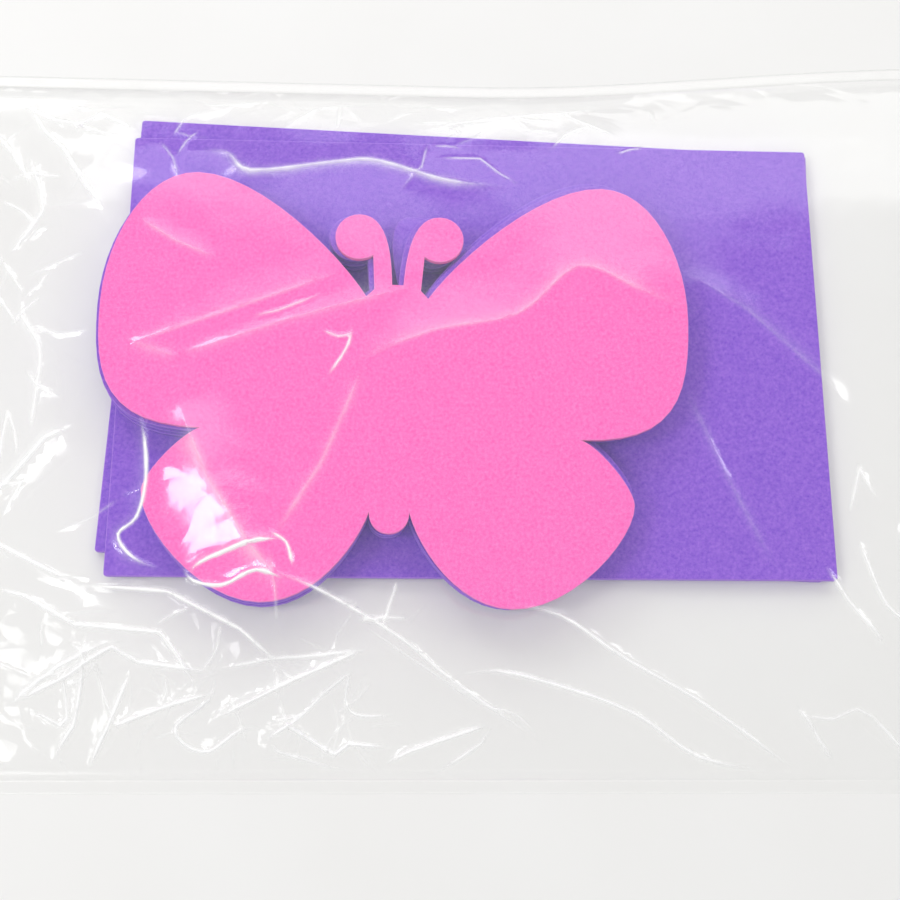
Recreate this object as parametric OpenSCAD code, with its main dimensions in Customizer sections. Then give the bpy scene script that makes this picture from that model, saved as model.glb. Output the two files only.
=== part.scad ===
// Bagged set of craft foam shapes: die-cut butterflies and two plain sheets of foam
// in a flat clear bag that is sealed on three edges and open at its right end.
// Millimetres, +Z up, origin at the middle of the bag on the surface it lies on.

/* [Foam] */
// Thickness of every foam piece
foam_t = 2; // [1.5:0.1:4]
// Air between foam pieces that lie on each other
layer_gap = 0.1; // [0.05:0.05:0.3]

/* [Foam sheets] */
// Length of a sheet, left to right
sheet_l = 215.9; // [180:0.1:280]
// Depth of a sheet, front to back
sheet_d = 139.7; // [120:0.1:200]
// Radius of a sheet's worn corners
sheet_corner_r = 1; // [0.2:0.1:8]
// Place of the lower sheet under the upper one: right, back, turn in degrees
lower_sheet_place = [-1.2, 3.6, -2]; // [-10:0.1:10]

/* [Butterfly] */
// Width across the upper wings
wing_span = 176; // [150:1:210]
// Distance between the tops of the upper wings
wing_tops_apart = 124; // [100:1:135]
// Height of the upper wings above the middle of the body
wing_top_y = 64.3; // [55:0.1:80]
// Height of the upper wings' widest point
wing_side_y = 22; // [10:0.1:32]
// Distance between the two notches that part the wings
wing_notches_apart = 110.8; // [90:0.1:125]
// Depth of those notches below the middle of the body
wing_notch_y = 16.2; // [8:0.1:22]
// Width across the lower wings
lower_span = 142; // [130:1:160]
// Depth of the lower wings' widest point below the middle of the body
lower_side_y = 35.2; // [30:0.1:42]
// Distance between the lowest points of the lower wings
lower_tips_apart = 71.4; // [55:0.1:90]
// Depth of the lower wings below the middle of the body
lower_tip_y = 66; // [58:0.1:80]
// Width of the tail between its two notches
tail_w = 11.6; // [8:0.1:18]
// Depth of the tail's notches below the middle of the body
tail_notch_y = 39.5; // [34:0.1:44]
// Length of the tail below its notches
tail_l = 6.1; // [3:0.1:10]

/* [Antennae] */
// Diameter of the ball at the end of an antenna
ball_d = 14.6; // [12:0.1:17]
// Distance between the two balls' middles
balls_apart = 24.4; // [22:0.1:30]
// Height of the balls' middles above the middle of the body
ball_y = 45.2; // [42:0.1:48]
// Width of the flat top of the head between the antennae
head_w = 3.4; // [2:0.1:5]
// Height of the head above the middle of the body
head_y = 30; // [28:0.1:32]
// Distance between the outer edges of the two stems at their foot
stems_w = 14; // [11:0.1:16]
// Height of the stems' outer foot above the middle of the body
stem_foot_y = 28.4; // [27:0.1:30]
// Distance between the two crotches where stem and wing meet
crotches_apart = 18.6; // [17:0.1:24]
// Height of those crotches above the middle of the body
crotch_y = 26; // [22:0.1:27]

/* [Stack] */
// Place of the pink butterfly on the upper sheet: right, back, turn in degrees
pink_place = [-24.4, -12.8, -1.35]; // [-40:0.05:40]
// Shift of the first purple butterfly from the pink one: right, back, turn
purple_1_shift = [-0.9, 0.6, 1.1]; // [-6:0.1:6]
// Shift of the second purple butterfly from the pink one
purple_2_shift = [-0.8, 1.7, 1.9]; // [-6:0.1:6]
// How far the right antenna of the second purple butterfly is bent over at its ball
purple_2_bend = -4; // [-6:0.1:2]
// Shift of the third purple butterfly from the pink one
purple_3_shift = [-1.2, 0.3, 0.8]; // [-6:0.1:6]
// Shift of the lowest purple butterfly from the pink one
purple_4_shift = [-1.4, 0, 1]; // [-6:0.1:6]

/* [Bag] */
// Thickness of the bag's film
film_t = 0.2; // [0.1:0.05:0.4]
// Width of the fused strip along a sealed edge
seal_w = 4; // [2:0.5:8]
// Film left free between the foam and the end seal
end_margin = 48; // [30:1:90]
// Film left free between the foam and the mouth
mouth_margin = 55; // [30:1:90]
// Film left free between the foam and the near side seal
near_margin = 47; // [25:1:80]
// Film left free between the foam and the far side seal
far_margin = 12; // [8:1:60]
// Room between the foam and the film over it
film_gap = 0.3; // [0.2:0.1:1]
// How far the film sags below a straight line, halfway down from the stack to a seal
film_sag = 0.6; // [0:0.1:1.5]

/* [Folds of the film] */
// Rise of the front film over a smooth tent, from closed end to mouth: halfway to the near seal
rise_near_slope = [1, 1.5, 1.5, 1, 1.5, 2, 1, 0.5, 0.5]; // [0:0.5:6]
// The same along the near edge of the stack
rise_near_edge = [1, 1.5, 1, 2, 1, 2, 0.5, 1, 1.5]; // [0:0.5:6]
// The same over the lower wings
rise_lower_wings = [0.5, 0.5, 4.5, 1.5, 0.5, 1, 1, 2, 2.5]; // [0:0.5:6]
// The same over the body
rise_body = [1, 0.5, 1.5, 2, 1, 1, 2, 1.5, 3]; // [0:0.5:6]
// The same over the upper wings
rise_upper_wings = [0.5, 1, 1.5, 2.5, 1.5, 3, 2, 2, 3]; // [0:0.5:6]
// The same along the far edge of the stack
rise_far_edge = [1.5, 1, 1.5, 1, 1.5, 0.5, 1, 1.5, 2.5]; // [0:0.5:6]
// The same halfway to the far seal
rise_far_slope = [1, 1.5, 0.5, 1, 1, 0.5, 1, 2, 4]; // [0:0.5:6]

/* [Hidden] */

PURPLE = [0.60, 0.43, 0.84];
PINK = [1.00, 0.45, 0.78];
FILM = [0.90, 0.93, 0.96, 0.35];

// Steps in one curve of an outline, in one antenna ball and in one corner of a sheet
curve_steps = 12;
ball_steps = 16;
corner_steps = 6;

// How full the curves of the wings are: the share of each quarter that its handles reach along
wing_inner_lean = [7.8, 12.3];
wing_inner_full = 0.36;
wing_tip_full = [0.62, 0.475];
wing_under_full = [0.65, 0.85];
lower_side_lean = [4.8, -1.2];
lower_side_full = 0.28;
lower_outer_full = [0.31, 0.5];
lower_inner_full = 0.51;
lower_inner_lean = [3.2, -10.3];
stem_lean = [0.5, 10.6];
stem_full = 0.77;
tail_full = [0.6, 0.55];

// Points of a cubic curve from a to b with handles at c and d, without its last point
function curve(a, c, d, b) = [for (i = [0:curve_steps - 1]) let (t = i / curve_steps, u = 1 - t)
  u^3 * a + 3 * u^2 * t * c + 3 * u * t^2 * d + t^3 * b];

// Points of an arc round a centre, from one angle to another, both ends included
function arc(centre, r, from, to, steps) = [for (i = [0:steps]) let (a = from + (to - from) * i / steps)
  centre + r * [cos(a), sin(a)]];

// Anchors of the right half of a butterfly, from the head round to the tail
head = [head_w / 2, head_y];
ball = [balls_apart / 2, ball_y];
ball_r = ball_d / 2;
ball_top = ball + [0, ball_r];
// The ball runs on round until it meets the outer edge of its stem
ball_end = 233;
stem_foot = [stems_w / 2, stem_foot_y];
crotch = [crotches_apart / 2, crotch_y];
wing_top = [wing_tops_apart / 2, wing_top_y];
wing_side = [wing_span / 2, wing_side_y];
wing_notch = [wing_notches_apart / 2, -wing_notch_y];
lower_side = [lower_span / 2, -lower_side_y];
lower_tip = [lower_tips_apart / 2, -lower_tip_y];
tail_notch = [tail_w / 2, -tail_notch_y];
tail_tip = [0, -tail_notch_y - tail_l];

// Step along x or y by a share of the way from one anchor to another
function along_x(a, b, share) = [share * (b.x - a.x), 0];
function along_y(a, b, share) = [0, share * (b.y - a.y)];

half_outline = concat(
  curve(head, head + stem_lean, ball_top + along_x(ball_top, head, stem_full), ball_top),
  arc(ball, ball_r, 90, ball_end - 360, ball_steps),
  [stem_foot],
  curve(crotch, crotch + wing_inner_lean, wing_top + along_x(wing_top, crotch, wing_inner_full), wing_top),
  curve(wing_top, wing_top + along_x(wing_top, wing_side, wing_tip_full[0]),
    wing_side + along_y(wing_side, wing_top, wing_tip_full[1]), wing_side),
  curve(wing_side, wing_side + along_y(wing_side, wing_notch, wing_under_full[0]),
    wing_notch + along_x(wing_notch, wing_side, wing_under_full[1]), wing_notch),
  curve(wing_notch, wing_notch + lower_side_lean,
    lower_side + along_y(lower_side, wing_notch, lower_side_full), lower_side),
  curve(lower_side, lower_side + along_y(lower_side, lower_tip, lower_outer_full[0]),
    lower_tip + along_x(lower_tip, lower_side, lower_outer_full[1]), lower_tip),
  curve(lower_tip, lower_tip + along_x(lower_tip, tail_notch, lower_inner_full),
    tail_notch + lower_inner_lean, tail_notch),
  curve(tail_notch, tail_notch + along_y(tail_notch, tail_tip, tail_full[0]),
    tail_tip + along_x(tail_tip, tail_notch, tail_full[1]), tail_tip));

// Sideways move of a point of an antenna whose ball is bent over by some distance
function bent(p, bend) = [p.x + bend * max(0, p.y - head_y) / (ball_y - head_y), p.y];

// How many points from the start of the half outline lie on the antenna
antenna_points = curve_steps + ball_steps + 1;

// Whole outline, with its right antenna bent over by some distance
// The tail's tip lies on the axis and belongs to both halves, so it is added once
function outline(bend = 0) = concat(
  [for (i = [0:len(half_outline) - 1]) bent(half_outline[i], i < antenna_points ? bend : 0)],
  [tail_tip],
  [for (i = [len(half_outline) - 1:-1:0]) [-half_outline[i].x, half_outline[i].y]]);

// Outline of a sheet with rounded corners, about its middle
function sheet_outline() = [for (k = [0:3])
  let (sx = [1, -1, -1, 1][k], sy = [1, 1, -1, -1][k],
    centre = [sx * (sheet_l / 2 - sheet_corner_r), sy * (sheet_d / 2 - sheet_corner_r)])
  each arc(centre, sheet_corner_r, 90 * k, 90 * k + 90, corner_steps)];

// Points of an outline turned and moved to a place: right, back, turn
function placed(points, place) = [for (p = points)
  [p.x * cos(place[2]) - p.y * sin(place[2]) + place.x, p.x * sin(place[2]) + p.y * cos(place[2]) + place.y]];

// Where each piece lies, measured from the middle of the upper sheet
upper_sheet_place = [0, 0, 0];
sheet_places = [lower_sheet_place, upper_sheet_place];
purple_places = [for (shift = [purple_1_shift, purple_2_shift, purple_3_shift, purple_4_shift])
  pink_place + shift];
purple_bends = [0, purple_2_bend, 0, 0];

// Reach of the sheets and of the butterflies: left, right, near, far
function reach(points) = [min([for (p = points) p.x]), max([for (p = points) p.x]),
  min([for (p = points) p.y]), max([for (p = points) p.y])];
sheets = reach([for (place = sheet_places) each placed(sheet_outline(), place)]);
flies = reach([for (place = concat([pink_place], purple_places)) each placed(outline(), place)]);

// Edges of the bag, from the reach of what it holds and the film left free round it
bag_left = min(sheets[0], flies[0]) - end_margin - seal_w;
bag_right = max(sheets[1], flies[1]) + mouth_margin;
bag_near = min(sheets[2], flies[2]) - near_margin - seal_w;
bag_far = max(sheets[3], flies[3]) + far_margin + seal_w;
bag_l = bag_right - bag_left;
bag_w = bag_far - bag_near;
bag_middle = [(bag_left + bag_right) / 2, (bag_near + bag_far) / 2, 0];

// Heights of the layers, from the film they lie on
pitch = foam_t + layer_gap;
function layer_z(k) = film_t + layer_gap + k * pitch;
upper_sheet_layer = len(sheet_places) - 1;
pink_layer = upper_sheet_layer + len(purple_places) + 1;
sheets_top = layer_z(upper_sheet_layer) + foam_t;
stack_top = layer_z(pink_layer) + foam_t;

// Inner edges of the three seals
inner_left = bag_left + seal_w;
inner_near = bag_near + seal_w;
inner_far = bag_far - seal_w;

// Edges of the film's flat top over the stack, and the lines halfway down from there to the seals
crown = [flies[0] - film_gap, flies[2] - film_gap, flies[3] + film_gap];
shelf = reach(placed(sheet_outline(), upper_sheet_place));
halfway = [min((crown[0] + inner_left) / 2, shelf[0] - film_gap),
  min((crown[1] + inner_near) / 2, shelf[2] - film_gap),
  max((crown[2] + inner_far) / 2, shelf[3] + film_gap)];

// Heights of the front film's under side at a seal, halfway up and over the stack
crown_z = stack_top + film_gap;
film_levels = [film_t, max((crown_z + film_t) / 2 - film_sag, sheets_top + film_gap), crown_z];

// Lines of the net that the front film runs through, each with the level it reaches at most
rises = [rise_near_slope, rise_near_edge, rise_lower_wings, rise_body, rise_upper_wings, rise_far_edge,
  rise_far_slope];
steps_x = len(rise_body) - 2;
steps_y = len(rises) - 3;
net_x = concat([[inner_left, 0], [halfway[0], 1]],
  [for (i = [0:steps_x]) [crown[0] + (bag_right - crown[0]) * i / steps_x, 2]]);
net_y = concat([[inner_near, 0], [halfway[1], 1]],
  [for (j = [0:steps_y]) [crown[1] + (crown[2] - crown[1]) * j / steps_y, 2]],
  [[halfway[2], 1], [inner_far, 0]]);

// Height of the film's under side where two lines of the net cross: no rise on the seals
function film_z(i, j) = film_levels[min(net_x[i][1], net_y[j][1])]
  + (net_x[i][1] == 0 || net_y[j][1] == 0 ? 0 : rises[j - 1][i - 1]);

// One butterfly at a place and in a layer of the stack
module butterfly(place, layer, bend = 0) {
  translate([place.x, place.y, layer_z(layer)] - bag_middle)
    rotate(place[2])
      linear_extrude(foam_t) polygon(outline(bend));
}

// One sheet at a place and in a layer of the stack
module sheet(place, layer) {
  translate([place.x, place.y, layer_z(layer)] - bag_middle)
    rotate(place[2])
      linear_extrude(foam_t) polygon(sheet_outline());
}

// Film flat on the surface, between the three seals
module bag_back_film() {
  color(FILM) translate([inner_left, inner_near, 0] - bag_middle)
    cube([bag_right - inner_left, inner_far - inner_near, film_t]);
}

// Fused strip of both films along the closed end
module end_seal() {
  color(FILM) translate([bag_left, bag_near, 0] - bag_middle)
    cube([seal_w, bag_w, 2 * film_t]);
}

// Fused strip of both films along one long edge
module side_seal(edge) {
  color(FILM) translate([inner_left, edge, 0] - bag_middle)
    cube([bag_right - inner_left, seal_w, 2 * film_t]);
}

module side_seal_near() { side_seal(bag_near); }

module side_seal_far() { side_seal(inner_far); }

module foam_sheet_lower() { color(PURPLE) sheet(lower_sheet_place, 0); }

module foam_sheet_upper() { color(PURPLE) sheet(upper_sheet_place, upper_sheet_layer); }

// The first purple butterfly lies right under the pink one, the others below it in turn
module purple_butterfly(k) {
  color(PURPLE) butterfly(purple_places[k - 1], pink_layer - k, purple_bends[k - 1]);
}

module pink_butterfly() { color(PINK) butterfly(pink_place, pink_layer); }

// Film over the stack: a net of flat facets over the butterflies and down to the seals
module bag_front_film() {
  across = len(net_x);
  up = len(net_y);
  side = across * up;
  points = [for (lift = [0, film_t]) each [for (j = [0:up - 1]) each [for (i = [0:across - 1])
    [net_x[i][0], net_y[j][0], film_z(i, j) + lift]]]];
  // Two facets in each mesh of the net, seen from below
  under = [for (j = [0:up - 2]) each [for (i = [0:across - 2]) let (k = j * across + i)
    each [[k, k + 1, k + across], [k + 1, k + across + 1, k + across]]]];
  over = [for (f = under) [f[2] + side, f[1] + side, f[0] + side]];
  // Edges of the film at the seals and across the mouth
  rim = concat([for (i = [0:across - 2]) i], [for (j = [0:up - 2]) (j + 1) * across - 1],
    [for (i = [across - 1:-1:1]) side - across + i], [for (j = [up - 1:-1:1]) j * across]);
  edge = [for (i = [0:len(rim) - 1]) let (a = rim[i], b = rim[(i + 1) % len(rim)]) [a, a + side, b + side, b]];
  color(FILM) translate(-bag_middle) polyhedron(points, concat(under, over, edge));
}

bag_back_film();
end_seal();
side_seal_near();
side_seal_far();
foam_sheet_lower();
foam_sheet_upper();
purple_butterfly(4);  // purple_butterfly_4
purple_butterfly(3);  // purple_butterfly_3
purple_butterfly(2);  // purple_butterfly_2
purple_butterfly(1);  // purple_butterfly_1
pink_butterfly();
bag_front_film();
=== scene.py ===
import math
import random

import bmesh
import bpy
import numpy as np
from mathutils import Euler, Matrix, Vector, noise
from mathutils.bvhtree import BVHTree


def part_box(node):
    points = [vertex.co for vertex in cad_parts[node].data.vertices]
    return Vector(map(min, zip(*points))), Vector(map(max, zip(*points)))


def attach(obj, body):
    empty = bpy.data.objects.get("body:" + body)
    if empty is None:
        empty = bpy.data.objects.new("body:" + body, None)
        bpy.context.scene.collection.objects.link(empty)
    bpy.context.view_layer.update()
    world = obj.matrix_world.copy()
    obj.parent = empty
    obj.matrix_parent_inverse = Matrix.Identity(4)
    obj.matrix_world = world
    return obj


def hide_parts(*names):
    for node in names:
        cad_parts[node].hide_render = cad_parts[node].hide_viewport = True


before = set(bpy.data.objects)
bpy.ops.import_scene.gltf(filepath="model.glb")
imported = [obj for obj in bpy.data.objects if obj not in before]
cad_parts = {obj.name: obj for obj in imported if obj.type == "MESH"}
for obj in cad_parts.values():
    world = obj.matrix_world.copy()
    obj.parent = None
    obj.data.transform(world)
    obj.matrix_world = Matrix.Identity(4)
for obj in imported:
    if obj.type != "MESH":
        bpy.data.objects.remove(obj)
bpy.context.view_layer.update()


# Back film of the bag: one of two layers of thin clear film. It is cut from a roll, lies
# flat on the table under the foam and is welded to the front film along three edges.
# Near the open mouth its far edge curls up off the table and flares out a little.
mm = 0.001


class Shade:
    """A socket of a finish. Sums and products of sockets add Math nodes."""

    def __init__(self, tree, socket):
        self.tree = tree
        self.socket = socket

    def maths(self, operation, first, second):
        made = self.tree.nodes.new("ShaderNodeMath")
        made.operation = operation
        for place, value in zip(made.inputs, (first, second)):
            if isinstance(value, Shade):
                self.tree.links.new(value.socket, place)
            else:
                place.default_value = value
        return Shade(self.tree, made.outputs[0])

    def __add__(self, other):
        return self.maths("ADD", self, other)

    def __radd__(self, other):
        return self.maths("ADD", other, self)

    def __sub__(self, other):
        return self.maths("SUBTRACT", self, other)

    def __rsub__(self, other):
        return self.maths("SUBTRACT", other, self)

    def __mul__(self, other):
        return self.maths("MULTIPLY", self, other)

    def __rmul__(self, other):
        return self.maths("MULTIPLY", other, self)

    def __abs__(self):
        return self.maths("ABSOLUTE", self, 0.0)


class Finish:
    """A material. node() adds any node, from its type, its settings and its sockets."""

    def __init__(self, name):
        self.material = bpy.data.materials.new(name)
        self.material.use_nodes = True
        self.tree = self.material.node_tree
        self.tree.nodes.clear()

    def node(self, kind, settings, sockets, output=0):
        made = self.tree.nodes.new(kind)
        for name, value in settings.items():
            setattr(made, name, value)
        for place, value in sockets.items():
            if isinstance(value, Shade):
                self.tree.links.new(value.socket, made.inputs[place])
            else:
                made.inputs[place].default_value = value
        return Shade(self.tree, made.outputs[output]) if made.outputs else None

    def place(self):
        return self.node("ShaderNodeTexCoord", {}, {}, "Object")

    def grain(self, size, detail=2.0, roughness=0.5, output=0):
        return self.node(
            "ShaderNodeTexNoise",
            {},
            {"Vector": self.place(), "Scale": 1 / size, "Detail": detail, "Roughness": roughness},
            output,
        )

    def blend(self, share, first, second):
        sockets = {0: share, 6: first, 7: second}
        return self.node("ShaderNodeMix", {"data_type": "RGBA"}, sockets, 2)

    def cover(self, shader):
        self.node("ShaderNodeOutputMaterial", {}, {"Surface": shader})
        return self.material


mirrored_square_on = 0.039
mirrored_aslant = 0.8
film_roughness = 0.12
facet_sizes = (27 * mm, 11 * mm)
facet_shares = (0.6, 0.4)
facet_slope = 0.16
drift_size = 18 * mm
drift_reach = 9 * mm
waver_size = 15 * mm
waver_height = 0.4 * mm
haze = 0.01
sharp_highlight_white = 1.15
soft_highlight_white = 0.06
white_patch_size = 7 * mm
white_patch_least = 0.3
white_patch_spread = 1.4
whitening_and_glint_white = (0.98, 0.98, 0.98, 1)


def clear_film(name, tint):
    """Clear film: it mirrors a little, more at a slant, and lets the rest straight through.

    Where the piece's crumple attribute says so, flat little facets turn the mirror about.
    Where its crease attribute says so, the film is painted white: a painted highlight along
    each crest and on the lit side of folds, partly also the whitening of creased film.
    """
    finish = Finish(name)
    drift = finish.grain(drift_size, detail=1.0, output="Color")
    moved = finish.node(
        "ShaderNodeVectorMath",
        {"operation": "SCALE"},
        {0: drift, "Scale": drift_reach},
    )
    bent = finish.node(
        "ShaderNodeVectorMath",
        {"operation": "ADD"},
        {0: finish.place(), 1: moved},
    )
    facets = 0.0
    for size, share in zip(facet_sizes, facet_shares):
        edge = finish.node(
            "ShaderNodeTexVoronoi",
            {"feature": "DISTANCE_TO_EDGE", "voronoi_dimensions": "2D"},
            {"Vector": bent, "Scale": 1 / size},
            "Distance",
        )
        facets = edge * (size * share) + facets
    crumple = finish.node("ShaderNodeAttribute", {"attribute_name": "crumple"}, {}, "Fac")
    waver = finish.grain(waver_size, detail=1.0) * waver_height
    tilt = finish.node(
        "ShaderNodeBump",
        {},
        {"Strength": 1.0, "Distance": 1.0, "Height": facets * crumple * facet_slope + waver},
    )
    facing = finish.node("ShaderNodeLayerWeight", {}, {"Blend": 0.5}, "Facing")
    slant = facing * facing
    mirrored = mirrored_square_on + mirrored_aslant * slant * slant * facing
    through = finish.node("ShaderNodeBsdfTransparent", {}, {"Color": tint})
    gloss = finish.node(
        "ShaderNodeBsdfAnisotropic",
        {},
        {"Color": (1, 1, 1, 1), "Roughness": film_roughness, "Normal": tilt},
    )
    mixed = finish.node("ShaderNodeMixShader", {}, {0: mirrored, 1: through, 2: gloss})
    crease_highlight = finish.node("ShaderNodeAttribute", {"attribute_name": "crease_highlight"}, {}, "Fac")
    # The white below is painted highlight along the creases, in patches, partly the whitening of
    # creased film.
    highlight_white = sharp_highlight_white * crease_highlight * crease_highlight * crease_highlight + soft_highlight_white * crease_highlight
    highlight_share = haze + highlight_white * (white_patch_least + white_patch_spread * finish.grain(white_patch_size))
    whitening_and_glint = finish.node("ShaderNodeBsdfDiffuse", {}, {"Color": whitening_and_glint_white})
    crease_highlighted = finish.node("ShaderNodeMixShader", {}, {0: highlight_share, 1: mixed, 2: whitening_and_glint})
    return finish.cover(crease_highlighted)


def into_scene(name, bm, material):
    """Turns a finished bmesh into a piece of that name and material."""
    mesh = bpy.data.meshes.new(name)
    bm.to_mesh(mesh)
    bm.free()
    mesh.materials.append(material)
    piece = bpy.data.objects.new(name, mesh)
    bpy.context.scene.collection.objects.link(piece)
    return piece


film_thickness = 0.05 * mm


def see_through(piece):
    """Smooths a film, thickens it upwards and lets the lamps through to what lies under it."""
    piece.data.polygons.foreach_set("use_smooth", [True] * len(piece.data.polygons))
    thicken = piece.modifiers.new("thickness", "SOLIDIFY")
    thicken.thickness = film_thickness
    thicken.offset = 1
    piece.visible_shadow = False
    piece.visible_diffuse = False


def ease(value, start, end):
    """0 up to start, 1 past end, and an even S between them."""
    share = np.clip((np.asarray(value, float) - start) / (end - start), 0, 1)
    return share * share * (3 - 2 * share)


film_low, film_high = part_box("bag_back_film")
film_lift = 0.04 * mm
flare_start = 0.0
flare_out = 6 * mm
flare_lift = 8 * mm
flare_fold = film_high.y - 10 * mm
flare_spread = film_high.y - 40 * mm


def far_flare(x):
    """How far the bag's far edge has opened at x: 0 along the foam, 1 at the mouth."""
    return ease(x, flare_start, film_high.x)


def film_sheet(cell, low, high):
    """A flat grid of square cells between two corners."""
    bm = bmesh.new()
    size = high - low
    across = round(size.x / cell)
    up = round(size.y / cell)
    bmesh.ops.create_grid(bm, x_segments=across, y_segments=up, size=0.5)
    bmesh.ops.scale(bm, vec=(size.x, size.y, 1), verts=bm.verts)
    middle = ((low.x + high.x) / 2, (low.y + high.y) / 2, 0)
    bmesh.ops.translate(bm, vec=middle, verts=bm.verts)
    return bm


def flare_outward(x, y):
    """How far a point of either film moves out in Y as the far edge flares."""
    return flare_out * far_flare(x) * ease(y, flare_spread, film_high.y)


back_cell = 5 * mm
back = film_sheet(back_cell, film_low, film_high)
sheet_low, sheet_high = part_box("foam_sheet_lower")
wrinkle_height = 0.7 * mm
wrinkle_size = 22 * mm
wrinkle_pattern = 0.3
wrinkle_start, wrinkle_full = 3 * mm, 10 * mm
back_rim = 6 * mm
for vert in back.verts:
    x, y = vert.co.x, vert.co.y
    left = ease(sheet_low.x - x, wrinkle_start, wrinkle_full)
    near = ease(sheet_low.y - y, wrinkle_start, wrinkle_full)
    rim = ease(min(x - film_low.x, y - film_low.y, film_high.y - y), 0, back_rim)
    wave = 0.5 + 0.5 * noise.noise(Vector((x, y, wrinkle_pattern)) / wrinkle_size)
    vert.co.z = film_lift + wrinkle_height * wave * rim * max(left, near)
    vert.co.z += flare_lift * far_flare(x) * ease(y, flare_fold, film_high.y)
    vert.co.y += flare_outward(x, y)
film_tint = (0.997, 0.997, 0.996, 1)
film_material = clear_film("clear_film", film_tint)
back_film = into_scene("back_film", back, film_material)
see_through(back_film)
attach(back_film, "bag")
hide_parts("bag_back_film")


# Seals of the bag: narrow strips where the two films are melted into one along the closed
# end and both long sides. They are flat and a little cloudier than the film, and the far
# one opens out with it towards the mouth.
seal_tint = (0.992, 0.992, 0.99, 1)
seal_cell = 1 * mm
seal_material = clear_film("sealed_film", seal_tint)
for node in ("end_seal", "side_seal_near", "side_seal_far"):
    low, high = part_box(node)
    strip = film_sheet(seal_cell, low, high)
    for vert in strip.verts:
        if node == "side_seal_far":
            share = far_flare(vert.co.x)
            vert.co.y += flare_out * share
            vert.co.z += flare_lift * share
        vert.co.z += film_lift
    seal = into_scene(node + "_strip", strip, seal_material)
    see_through(seal)
    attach(seal, "bag")
    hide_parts(node)


# Foam sheets and butterflies: 2 mm closed-cell craft foam, cut with a steel-rule die that
# rounds the arris a little. The skin is matt with a fine pebbled grain and small pits, whose
# shade is painted in as darker spots; the cut edge is a little deeper in colour, and the arris
# is painted paler: a painted highlight where it catches the light, with some of the pressed
# foam's own paleness.
pebble_size = 1.0 * mm
pebble_height = 0.05 * mm
mottle_size = 7 * mm
pebble_share, mottle_share = 0.9, 0.1
skin_contrast = 2.2
pit_spacing = 2.4 * mm
pit_radius = 0.16
pit_slope = 8.0
pit_shade = 0.5
cut_edge_share = 0.5
arris_highlight_share = 3.2
deeper, lighter, highlight_palest = 1.3, 0.77, 0.55


def craft_foam(name, colour, side):
    """Matt foam: fine grain, faint mottle, scattered pits painted dark as painted shade, its
    own cut edge colour, and a painted highlight on the arris.
    """
    finish = Finish(name)
    pebble = finish.grain(pebble_size, detail=3.0, roughness=0.7)
    mottle = finish.grain(mottle_size, detail=3.0, roughness=0.6)
    facing = finish.node("ShaderNodeNewGeometry", {}, {}, "Normal")
    upward = finish.node("ShaderNodeSeparateXYZ", {}, {0: facing}, "Z")
    edge = 1 - abs(upward)
    deep, light, highlight_pale = (
        tuple(part**power for part in colour) + (1,) for power in (deeper, lighter, highlight_palest)
    )
    speckle = 0.5 + skin_contrast * (mottle_share * mottle + pebble_share * pebble - 0.5)
    skin = finish.blend(speckle, deep, light)
    from_pit = finish.node(
        "ShaderNodeTexVoronoi",
        {"feature": "F1"},
        {"Vector": finish.place(), "Scale": 1 / pit_spacing, "Randomness": 1.0},
        "Distance",
    )
    pit = finish.node("ShaderNodeClamp", {}, {"Value": (pit_radius - from_pit) * pit_slope})
    # Each pit is blended towards the deep colour: painted shade in the pit.
    pitted = finish.blend(pit * pit_shade, skin, deep)
    cut = finish.blend(edge * cut_edge_share, pitted, side + (1,))
    # The arris is painted paler: a painted highlight on the rounded edge, partly the pressed
    # foam's own paleness.
    arris_highlight = finish.blend(arris_highlight_share * edge * (1 - edge), cut, highlight_pale)
    relief = finish.node(
        "ShaderNodeBump",
        {},
        {"Strength": 0.35, "Distance": pebble_height, "Height": pebble},
    )
    foam = finish.node(
        "ShaderNodeBsdfPrincipled",
        {},
        {"Base Color": arris_highlight, "Roughness": 0.85, "Specular IOR Level": 0.3, "Normal": relief},
    )
    return finish.cover(foam)


arris_radius = 0.4 * mm
arris_angle = math.radians(70)
flat_angle = math.radians(0.1)
weld = 0.002 * mm
level = 0.1 * mm
face_up = 0.98


def die_cut(node, name, material):
    """The foam piece of a node, with the arrises softened by the die."""
    bm = bmesh.new()
    bm.from_mesh(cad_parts[node].data)
    bmesh.ops.remove_doubles(bm, verts=bm.verts, dist=weld)
    bmesh.ops.dissolve_limit(bm, angle_limit=flat_angle, verts=bm.verts, edges=bm.edges)
    arris = []
    for edge in bm.edges:
        first, second = edge.verts
        if edge.calc_face_angle(0) > arris_angle and abs(first.co.z - second.co.z) < level:
            arris.append(edge)
    bmesh.ops.bevel(
        bm,
        geom=arris,
        offset=arris_radius,
        offset_type="OFFSET",
        segments=3,
        profile=0.5,
        affect="EDGES",
        material=-1,
        clamp_overlap=True,
    )
    for face in bm.faces:
        face.smooth = abs(face.normal.z) < face_up
    piece = into_scene(name, bm, material)
    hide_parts(node)
    return piece


purple, purple_side = (0.24, 0.071, 0.66), (0.176, 0.059, 0.588)
pink, pink_side = (0.97, 0.138, 0.535), (0.95, 0.094, 0.46)
purple_foam = craft_foam("purple_foam", purple, purple_side)
pink_foam = craft_foam("pink_foam", pink, pink_side)
stack = [
    ("foam_sheet_lower", "sheet_lower", purple_foam),
    ("foam_sheet_upper", "sheet_upper", purple_foam),
    ("purple_butterfly_4", "butterfly_4", purple_foam),
    ("purple_butterfly_3", "butterfly_3", purple_foam),
    ("purple_butterfly_2", "butterfly_2", purple_foam),
    ("purple_butterfly_1", "butterfly_1", purple_foam),
    ("pink_butterfly", "butterfly_top", pink_foam),
]
for node, body, material in stack:
    piece = die_cut(node, node + "_foam", material)
    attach(piece, body)


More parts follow.
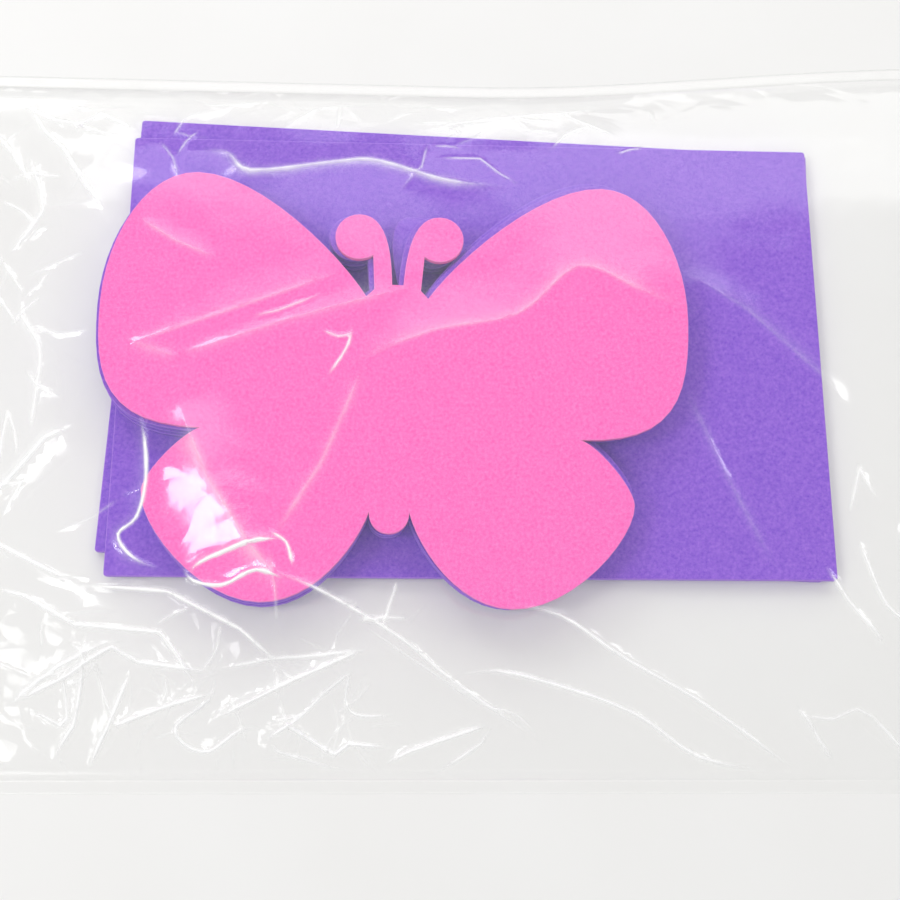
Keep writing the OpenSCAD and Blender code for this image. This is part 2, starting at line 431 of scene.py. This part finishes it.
# Front film of the bag: the upper layer of the same clear film, drawn over the stack and
# down to the seals. It is stiff enough to keep every fold it was given, so it is made
# here the way it creases: a smooth tent, scored along each fold and raised there.
front_low, front_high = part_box("bag_front_film")
stack_low, stack_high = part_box("pink_butterfly")
cell = 2.5 * mm
crest = 0.12 * mm
crest_foot = 1.1
crest_share = 0.55
film = film_sheet(cell, front_low, front_high)
beds = {}


def bed_of(point):
    """The square of the film's grid that a point lies in."""
    return int((point.x - front_low.x) // cell), int((point.y - front_low.y) // cell)


def lay_in_bed(face):
    """Notes a face under its square, so that a fold finds the faces that it crosses."""
    beds.setdefault(bed_of(face.calc_center_median()), {})[face] = True


for face in film.faces:
    lay_in_bed(face)
on_line = 1e-7


def score(start, end, side):
    """Cuts an edge into the film along a straight line, side to the left of start to end."""
    along = (end - start).normalized()
    across = Vector((-along.y, along.x, 0))
    steps = max(1, math.ceil((end - start).length / (cell / 3)))
    crossed = dict.fromkeys(
        bed_of(start.lerp(end, i / steps) + across * side) for i in range(steps + 1)
    )
    faces = dict.fromkeys(f for bed in crossed for f in beds.get(bed, ()) if f.is_valid)
    edges = dict.fromkeys(e for f in faces for e in f.edges)
    verts = dict.fromkeys(v for f in faces for v in f.verts)
    made = bmesh.ops.bisect_plane(
        film,
        geom=[*verts, *edges, *faces],
        dist=on_line,
        plane_co=start + across * side,
        plane_no=across,
    )
    for part in made["geom"]:
        if isinstance(part, bmesh.types.BMFace):
            lay_in_bed(part)


# Each fold: the height of its sharp crest, the height of the slopes beside it, how far
# these reach to the left and right of its line, and the line, all in millimetres.
folds = {
    "fan_1": (0.9, 1.5, 8, 8, [(-153, 110), (-138, 101), (-128, 98), (-118, 95)]),
    "fan_2": (
        0.9, 1.5, 8, 8,
        [(-152, 107), (-145, 100), (-138, 95), (-130, 90), (-115, 85), (-108, 84)],
    ),
    "fan_corner": (0.8, 1.2, 6, 6, [(-124, 84), (-117, 94), (-104, 86)]),
    "fan_3": (0.9, 2, 9, 9, [(-140, 97), (-133, 86), (-126, 79), (-117, 65), (-110, 56)]),
    "fan_4": (0.8, 1, 6, 6, [(-155, 94), (-145, 82), (-138, 72), (-136, 66)]),
    "fan_5": (0.8, 1, 6, 6, [(-138, 80), (-132, 65), (-131, 59), (-135, 53), (-143, 45)]),
    "fan_6": (0.7, 0, 0, 0, [(-148, 66), (-139, 61), (-134, 56), (-139, 50)]),
    "left_1": (0.7, 1, 7, 7, [(-136, 34), (-135, 26), (-128, 15), (-128, 1), (-129, -14)]),
    "left_2": (0.7, 0, 0, 0, [(-139, -25), (-138, -11), (-137, -3), (-134, -10), (-132, -20)]),
    "left_3": (0.9, 1.5, 8, 8, [(-141, -31), (-131, -21), (-124, -13), (-115, -9)]),
    "left_5": (0.7, 0, 0, 0, [(-138, -26), (-130, -25), (-133, -30), (-136, -36)]),
    "left_9": (0.9, 1, 8, 8, [(-145, -38), (-129, -46), (-112, -54)]),
    "near_1": (
        1, 2, 9, 9,
        [(-140, -54), (-125, -58), (-110, -66), (-87, -68), (-82, -74), (-74, -88)],
    ),
    "near_2": (0.9, 2, 10, 10, [(-112, -55), (-85, -57), (-65, -67), (-50, -80)]),
    "near_4": (0.9, 1, 6, 6, [(-130, -88), (-115, -77), (-100, -70)]),
    "near_5": (1, 1.5, 7, 7, [(-130, -88), (-113, -80), (-100, -72), (-93, -76), (-70, -79)]),
    "near_6": (0.9, 1, 6, 6, [(-107, -66), (-108, -79), (-111, -93), (-118, -103)]),
    "near_7": (0.9, 1, 5, 5, [(-95, -78), (-101, -92), (-108, -106)]),
    "near_8": (1, 1.5, 5, 6, [(-102, -94), (-86, -88), (-72, -84)]),
    "near_9": (
        0.9, 0, 0, 0,
        [(-72, -78), (-74, -86), (-83, -93), (-81, -98), (-74, -100), (-65, -94), (-58, -94)],
    ),
    "near_10": (1, 2, 8, 8, [(-74, -92), (-49, -80), (-28, -71)]),
    "near_11": (0.8, 0, 0, 0, [(-74, -78), (-57, -75), (-45, -74), (-28, -72)]),
    "near_12": (0.8, 0, 0, 0, [(-33, -77), (-43, -85), (-49, -91), (-55, -95)]),
    "near_14": (0.8, 0, 0, 0, [(-34, -76), (-36, -85), (-33, -90), (-22, -90)]),
    "near_15": (1, 1.5, 6, 6, [(-60, -98), (-52, -93), (-39, -101), (-35, -98), (-22, -99)]),
    "near_16": (0.8, 0, 0, 0, [(-58, -96), (-55, -100), (-45, -103), (-34, -106)]),
    "near_18": (0.8, 0, 0, 0, [(-124, -88), (-115, -93), (-113, -91), (-114, -76)]),
    "straight": (0.8, 2, 8, 12, [(-60, -51), (-46, -55), (-21, -69), (-7, -80), (20, -98)]),
    "pleat_top": (0.9, 2.4, 6, 14, [(10, -60), (24, -63), (41, -74), (65, -87), (95, -107)]),
    "pleat_low": (
        0.9, 2, 5, 8,
        [(-8, -80), (6, -78), (27, -83), (46, -90), (63, -101), (80, -105), (94, -107)],
    ),
    "double": (0.6, 0, 0, 0, [(-34, -64), (-14, -77), (2, -87), (12, -90), (21, -99)]),
    "spear_top": (0.8, 1, 4, 6, [(-26, -104), (-18, -100), (6, -92)]),
    "spear_low": (0.8, 0, 0, 0, [(-24, -107), (-10, -106), (2, -98), (6, -92)]),
    "streak": (
        0.7, 1, 8, 8,
        [(-88, 79), (-76, 78), (-68, 71), (-43, 75), (-30, 76), (-9, 69), (12, 67)],
    ),
    "streak_end": (0.6, 0, 0, 0, [(-12, 78), (2, 78), (8, 72), (14, 68)]),
    "far_1": (0.9, 1, 6, 6, [(-108, 106), (-94, 106), (-83, 100), (-66, 103), (-55, 97)]),
    "far_2": (0.8, 0, 0, 0, [(-64, 110), (-58, 103), (-52, 97)]),
    "far_3": (0.9, 1, 6, 6, [(-60, 90), (-49, 100), (-30, 103), (-3, 101), (6, 104)]),
    "far_4": (0.9, 1, 6, 6, [(-16, 90), (3, 95), (19, 98), (30, 99), (46, 102)]),
    "far_5": (0.8, 0, 0, 0, [(4, 110), (7, 102), (16, 105)]),
    "wing_band": (0.15, 0.7, 10, 4, [(-104, 14), (-77, 24), (-40, 38)]),
    "wing_band_low": (0.2, 0.7, 6, 8, [(-92, 10), (-56, 23), (-18, 34)]),
    "body": (0.2, 1.2, 16, 6, [(-40, 8), (-13, 20), (13, 26), (31, 41), (49, 34), (68, 26)]),
    "tail": (0.2, 1.0, 6, 10, [(-32, 10), (-44, -20), (-58, -44)]),
    "glare": (0.3, 2.8, 12, 17, [(-85, -4), (-76, -24), (-63, -44), (-51, -58)]),
    "wing_streak": (0.1, 0.5, 4, 4, [(-101, 55), (-90, 48), (-77, 42)]),
    "wing_patch": (0.1, 0.4, 6, 6, [(-102, 17), (-95, 14), (-86, 11)]),
    "loop_top": (1, 0.8, 4, 4, [(-54, -42), (-62, -43), (-70, -46), (-77, -49), (-80, -52)]),
    "loop_low": (1, 0.8, 4, 4, [(-82, -50), (-78, -54), (-70, -55), (-61, -51), (-52, -54)]),
    "loop_end": (0.8, 0, 0, 0, [(-58, -40), (-53, -43), (-51, -50)]),
    "rim_glint": (
        0.9, 0.5, 5, 5,
        [(-97, -6), (-94, -14), (-93, -26), (-95, -36), (-100, -41), (-96, -47), (-88, -51)],
    ),
    "star": (0.7, 0, 0, 0, [(-36, 21), (-37, 16), (-39, 12), (-43, 6)]),
    "star_arm": (0.6, 0, 0, 0, [(-45, 20), (-40, 18), (-36, 19)]),
    "strip_glint": (0.55, 0, 0, 0, [(-66, 24), (-58, 26), (-46, 31)]),
    "right_1": (0.3, 1.2, 8, 12, [(64, 40), (82, 28), (104, 7), (112, -4)]),
    "right_2": (0.1, 0.7, 6, 12, [(62, 4), (72, -20), (86, -50)]),
    "right_3": (0.8, 0.5, 5, 5, [(100, -48), (106, -58), (118, -72)]),
    "right_4": (0.8, 0.5, 5, 5, [(110, -40), (117, -59), (128, -66)]),
    "right_5": (0.7, 0, 0, 0, [(108, -34), (112, -20), (117, -30)]),
    "right_6": (0.8, 1.2, 6, 6, [(92, -87), (96, -92), (99, -97), (104, -103)]),
    "right_7": (0.7, 0, 0, 0, [(93, -90), (103, -91), (110, -88), (118, -92)]),
    "right_8": (0.8, 1, 5, 5, [(114, -90), (119, -95), (123, -99), (126, -105)]),
}

# Besides these, the loose film beside the stack has many short creases in no order: how
# many in each strip, and the strip's reach in X and in Y.
dice = random.Random(11)
loose_strips = [
    (60, (-155, -20), (-104, -64)),
    (26, (-155, -116), (-55, 98)),
    (26, (-110, 60), (80, 104)),
]
loose_bends = 2
loose_turn = 0.5
loose_reach = (4, 11)
loose_sharp = (0.25, 0.75)
for count, (first_x, last_x), (first_y, last_y) in loose_strips:
    for crinkle in range(count):
        x = dice.uniform(first_x, last_x)
        y = dice.uniform(first_y, last_y)
        way = dice.uniform(0, math.tau)
        reach = dice.uniform(*loose_reach)
        line = [(x, y)]
        for bend in range(loose_bends):
            way += dice.uniform(-loose_turn, loose_turn)
            x += reach * math.cos(way)
            y += reach * math.sin(way)
            line.append((x, y))
        name = f"loose_{first_x}_{first_y}_{crinkle}"
        folds[name] = (dice.uniform(*loose_sharp), 0, 0, 0, line)


def drawn_round(line):
    """The same line through the same points, drawn as one smooth curve."""
    points = np.array([line[0], *line, line[-1]], float)
    curve = []
    for before, start, end, after in zip(points, points[1:], points[2:], points[3:]):
        for t in (0, 0.25, 0.5, 0.75):
            bend = (2 * before - 5 * start + 4 * end - after) * t * t
            turn = (3 * start - before - 3 * end + after) * t**3
            curve.append(tuple((2 * start + (end - before) * t + bend + turn) / 2))
    return curve + [line[-1]]


curving = """
    loop_top loop_low loop_end rim_glint near_9 near_14 left_1
    streak straight pleat_top pleat_low double right_4 body
"""
for name in curving.split():
    folds[name] = (*folds[name][:4], drawn_round(folds[name][4]))
for sharp, rise, left, right, line in folds.values():
    path = [Vector((x * mm, y * mm, 0)) for x, y in line]
    for start, end in zip(path, path[1:]):
        for side in (-crest, crest, crest_foot * mm, -crest_foot * mm):
            score(start, end, side)

spots = np.array([vert.co[:2] for vert in film.verts])

# The smooth tent: the solid film's own height on a wide lattice, evened out.
pace = 4 * mm
inset = 0.01 * mm
evenings = 6
graph = bpy.context.evaluated_depsgraph_get()
solid = BVHTree.FromObject(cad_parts["bag_front_film"], graph)
front_size = front_high - front_low
lattice_x = np.linspace(front_low.x, front_high.x, round(front_size.x / pace) + 1)
lattice_y = np.linspace(front_low.y, front_high.y, round(front_size.y / pace) + 1)
down = Vector((0, 0, -1))
tent = np.zeros((len(lattice_x), len(lattice_y)))
for i, x in enumerate(np.clip(lattice_x, front_low.x + inset, front_high.x - inset)):
    for j, y in enumerate(np.clip(lattice_y, front_low.y + inset, front_high.y - inset)):
        tent[i, j] = solid.ray_cast(Vector((x, y, 1)), down)[0].z
for evening in range(evenings):
    wide = np.pad(tent, 1, mode="reflect", reflect_type="odd")
    rows = (wide[:-2] + 2 * wide[1:-1] + wide[2:]) / 4
    tent = (rows[:, :-2] + 2 * rows[:, 1:-1] + rows[:, 2:]) / 4


short_of_end = 0.001


def on_lattice(places, lattice):
    """Which step of the lattice each place is past, and its share of the way to the next."""
    last = len(lattice) - 1 - short_of_end
    along = np.clip((places - lattice[0]) / (lattice[1] - lattice[0]), 0, last)
    step = along.astype(int)
    return step, along - step


i, u = on_lattice(spots[:, 0], lattice_x)
j, v = on_lattice(spots[:, 1], lattice_y)
heights = (
    tent[i, j] * (1 - u) * (1 - v)
    + tent[i + 1, j] * u * (1 - v)
    + tent[i, j + 1] * (1 - u) * v
    + tent[i + 1, j + 1] * u * v
)

# All that is added to the tent dies away towards the seals.
seal_rim = 16 * mm
near_rim = 6 * mm
to_seal = np.minimum(spots[:, 0] - front_low.x, front_high.y - spots[:, 1])
rim = ease(to_seal, 0, seal_rim) * ease(spots[:, 1] - front_low.y, 0, near_rim)
swell_size = 40 * mm
swell_least = 0.3 * mm
swell_height = 1.2 * mm
swell_depth = 4.7 * swell_size
waves = [noise.noise(Vector((x, y, swell_depth)) / swell_size) for x, y in spots]
heights += (swell_least + swell_height * (0.5 + 0.5 * np.array(waves))) * rim
fold_fade = 0.18
fold_hollow = 1.6


def raised(line, height, left, right):
    """How much one fold lifts every spot of the film: a long tent that fades at its ends."""
    path = np.array(line) * mm
    widest = max(left, right) * mm
    beside = ((spots > path.min(0) - widest) & (spots < path.max(0) + widest)).all(1)
    spot = spots[beside]
    lengths = np.linalg.norm(np.diff(path, axis=0), axis=1)
    starts = np.concatenate([[0], np.cumsum(lengths)])
    nearest = np.full(len(spot), np.inf)
    lift = np.zeros(len(spot))
    for start, end, length, before in zip(path, path[1:], lengths, starts):
        along = (end - start) / length
        offset = spot - start
        run = np.clip(offset @ along, 0, length)
        distance = np.linalg.norm(offset - run[:, None] * along, axis=1)
        on_left = along[0] * offset[:, 1] - along[1] * offset[:, 0] > 0
        reach = np.where(on_left, left, right) * mm
        share = (before + run) / starts[-1]
        fade = np.clip(np.minimum(share, 1 - share) / fold_fade, 0, 1)
        slope = np.clip((reach - distance) / (reach - crest), 0, 1) ** fold_hollow
        closer = distance < nearest
        nearest = np.where(closer, distance, nearest)
        lift = np.where(closer, height * mm * fade * slope, lift)
    lifts = np.zeros(len(spots))
    lifts[beside] = lift
    return lifts


# Beside a fold the film is painted white, a painted highlight: how white, and how far to its
# left and right. Over the foam each such band is set, and elsewhere it is the side that faces
# the light.
highlight_bands = {
    "tail": (0.42, 3, 3),
    "wing_streak": (0.4, 2.5, 2.5),
    "wing_patch": (0.34, 6, 6),
    "wing_band": (0.38, 4, 1.5),
    "wing_band_low": (0.36, 2, 4),
    "body": (0.4, 7, 1.5),
    "right_1": (0.34, 7, 2),
    "right_2": (0.3, 3, 3),
    "streak": (0.72, 3, 4.5),
    "glare": (0.5, 4, 12),
}
to_light = np.array((-0.8, 0.6))
lit_white = 0.66
hard_crest = 0.5
for name, (sharp, rise, left, right, line) in folds.items():
    if rise and sharp > hard_crest and name not in highlight_bands:
        run = np.subtract(line[-1], line[0])
        lit = to_light @ (-run[1], run[0]) / np.hypot(*run)
        sides = (left, crest_foot) if lit > 0 else (crest_foot, right)
        highlight_bands[name] = (lit_white * abs(lit), *sides)
crease_highlights = np.zeros(len(spots))
for name, (highlight_white, left, right) in highlight_bands.items():
    crease_highlights = np.maximum(crease_highlights, raised(folds[name][4], highlight_white, left, right) * rim / mm)
# Each crest is raised by its sharp height, and by that height also painted white: a painted
# highlight along the crest.
for sharp, rise, left, right, line in folds.values():
    crisp = raised(line, sharp, crest_foot, crest_foot) * rim
    heights += crest_share * crisp
    crease_highlights = np.maximum(crease_highlights, crisp / mm)
    if rise:
        heights += raised(line, rise, left, right) * rim

# Between the folds the loose film stands up in small puffs: the middle and the radius of
# each, in millimetres.
puffs = [
    (-131, -62, 6),
    (-136, -83, 5),
    (-103, -75, 7),
    (-94, -93, 8),
    (-69, -99, 7),
    (-53, -96, 8),
    (-14, -103, 9),
    (-104, -107, 5),
    (-72, -108, 5),
    (-54, -70, 9),
    (-41, -82, 8),
    (-21, -60, 8),
    (114, -66, 8),
    (120, -40, 7),
    (-118, 70, 7),
    (-126, 88, 8),
]
puff_slope = 0.2
for x, y, radius in puffs:
    away = np.hypot(spots[:, 0] - x * mm, spots[:, 1] - y * mm)
    heights += puff_slope * radius * mm * ease(-away, -radius * mm, 0) * rim

# The film is drawn flat over the foam, and crumples beside it and where it is bunched over
# one wing. These are the lines, at the left, near and far sides, between which it changes.
left_shore = (stack_low.x - 20 * mm, stack_low.x + 5 * mm)
near_shore = (stack_low.y - 10 * mm, stack_low.y + 10 * mm)
far_shore = (-sheet_high.y - 5 * mm, -sheet_high.y + 15 * mm)
over_foam = (
    ease(spots[:, 0], *left_shore)
    * ease(spots[:, 1], *near_shore)
    * ease(-spots[:, 1], *far_shore)
)
crumple_least = 0.3
crumple_leftward = 0.4
left_start, left_full = -60 * mm, 60 * mm
leftward = ease(-spots[:, 0], left_start, left_full)
crumples = (crumple_least + crumple_leftward * leftward) * (1 - over_foam)
bunch_x, bunch_y = -76 * mm, -38 * mm
bunch_core, bunch_reach = 12 * mm, 36 * mm
bunch_crumple = 0.3
from_bunch = np.hypot(spots[:, 0] - bunch_x, spots[:, 1] - bunch_y)
bunched = ease(-from_bunch, -bunch_reach, -bunch_core)
crumples = np.maximum(crumples, bunch_crumple * bunched)
crumple = film.verts.layers.float.new("crumple")
# The crease attribute carries the painted highlights of the crests and bands to the film's
# finish.
crease_highlight = film.verts.layers.float.new("crease_highlight")
for vert, share, mark in zip(film.verts, crumples, crease_highlights):
    vert[crumple] = share
    vert[crease_highlight] = mark
for vert, height in zip(film.verts, heights):
    share = far_flare(vert.co.x) * ease(vert.co.y, stack_high.y, front_high.y)
    vert.co.z = height + flare_lift * share
    vert.co.y += flare_outward(vert.co.x, vert.co.y)
front_film = into_scene("front_film", film, film_material)
see_through(front_film)
firm = front_film.modifiers.new("firm_facets", "WEIGHTED_NORMAL")
firm.mode = "FACE_AREA"
firm.weight = 60
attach(front_film, "bag")
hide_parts("bag_front_film")


# Table, light and camera: a pale matt table top under a bright far ceiling and a few
# soft boxes, seen from above and a little to the near side.
table = Finish("table_top")
table_dull, table_bright = (0.815, 0.808, 0.792, 1), (0.86, 0.858, 0.85, 1)
table_mottle = 60 * mm
table_reach = 20.0
table_drop = 0.02 * mm
table_colour = table.blend(table.grain(table_mottle, detail=4.0), table_dull, table_bright)
table_skin = table.node(
    "ShaderNodeBsdfPrincipled",
    {},
    {"Base Color": table_colour, "Roughness": 0.6},
)
top = bmesh.new()
bmesh.ops.create_grid(top, x_segments=1, y_segments=1, size=table_reach)
bmesh.ops.translate(top, vec=(0, 0, -table_drop), verts=top.verts)
floor = into_scene("table", top, table.cover(table_skin))
bag_middle = Vector((0, 0, 0))


def soft_box(name, place, size, brightness):
    """An oval lamp that faces the bag. Its power goes with its size, at one brightness."""
    lamp = bpy.data.lights.new(name, "AREA")
    lamp.shape = "ELLIPSE"
    lamp.size, lamp.size_y = size
    lamp.energy = brightness * math.pi * size[0] * size[1]
    stand = bpy.data.objects.new(name, lamp)
    stand.location = place
    stand.rotation_euler = (bag_middle - Vector(place)).to_track_quat("-Z", "Y").to_euler()
    bpy.context.scene.collection.objects.link(stand)


# The ceiling is three ovals that end together at the far side and one after the other
# towards the near side, in degrees from straight up, so that its near edge is soft.
ceiling_distance = 1.38
ceiling_width = 1.7
ceiling_brightness = 0.33
far_angle = 76
for step, near_angle in enumerate((23.5, 27.3, 30.7)):
    middle = math.radians((near_angle + far_angle) / 2)
    half_depth = ceiling_distance * math.tan(math.radians((far_angle - near_angle) / 2))
    hung = (0.0, ceiling_distance * math.sin(middle), ceiling_distance * math.cos(middle))
    soft_box(f"ceiling_{step}", hung, (ceiling_width, 2 * half_depth), ceiling_brightness)
soft_box("window", (-0.8, -0.1, 1.02), (0.3, 0.3), 7.0)
soft_box("window_glow", (-1.05, -0.2, 0.95), (0.5, 0.5), 1.5)
soft_box("far_left", (-0.55, 0.75, 0.75), (0.35, 0.3), 3.4)
soft_box("near_left", (-0.8, -0.8, 0.7), (0.4, 0.35), 2.1)
soft_box("right", (0.85, 0.35, 0.75), (0.3, 0.3), 3.0)

world = bpy.data.worlds.new("room")
bpy.context.scene.world = world
world.use_nodes = True
room_light = world.node_tree.nodes["Background"]
room_light.inputs["Color"].default_value = (1, 1, 1, 1)
room_light.inputs["Strength"].default_value = 0.66

bpy.context.scene.view_settings.view_transform = "Standard"
camera = bpy.data.objects.new("camera", bpy.data.cameras.new("camera"))
camera.data.sensor_width = 36
camera.data.lens = 44
camera.data.clip_start = 0.01
camera.location = (-0.0196, -0.0882, 0.3262)
camera.rotation_euler = Euler([math.radians(turn) for turn in (13.226, -2.322, 0.102)])
bpy.context.scene.collection.objects.link(camera)
bpy.context.scene.camera = camera
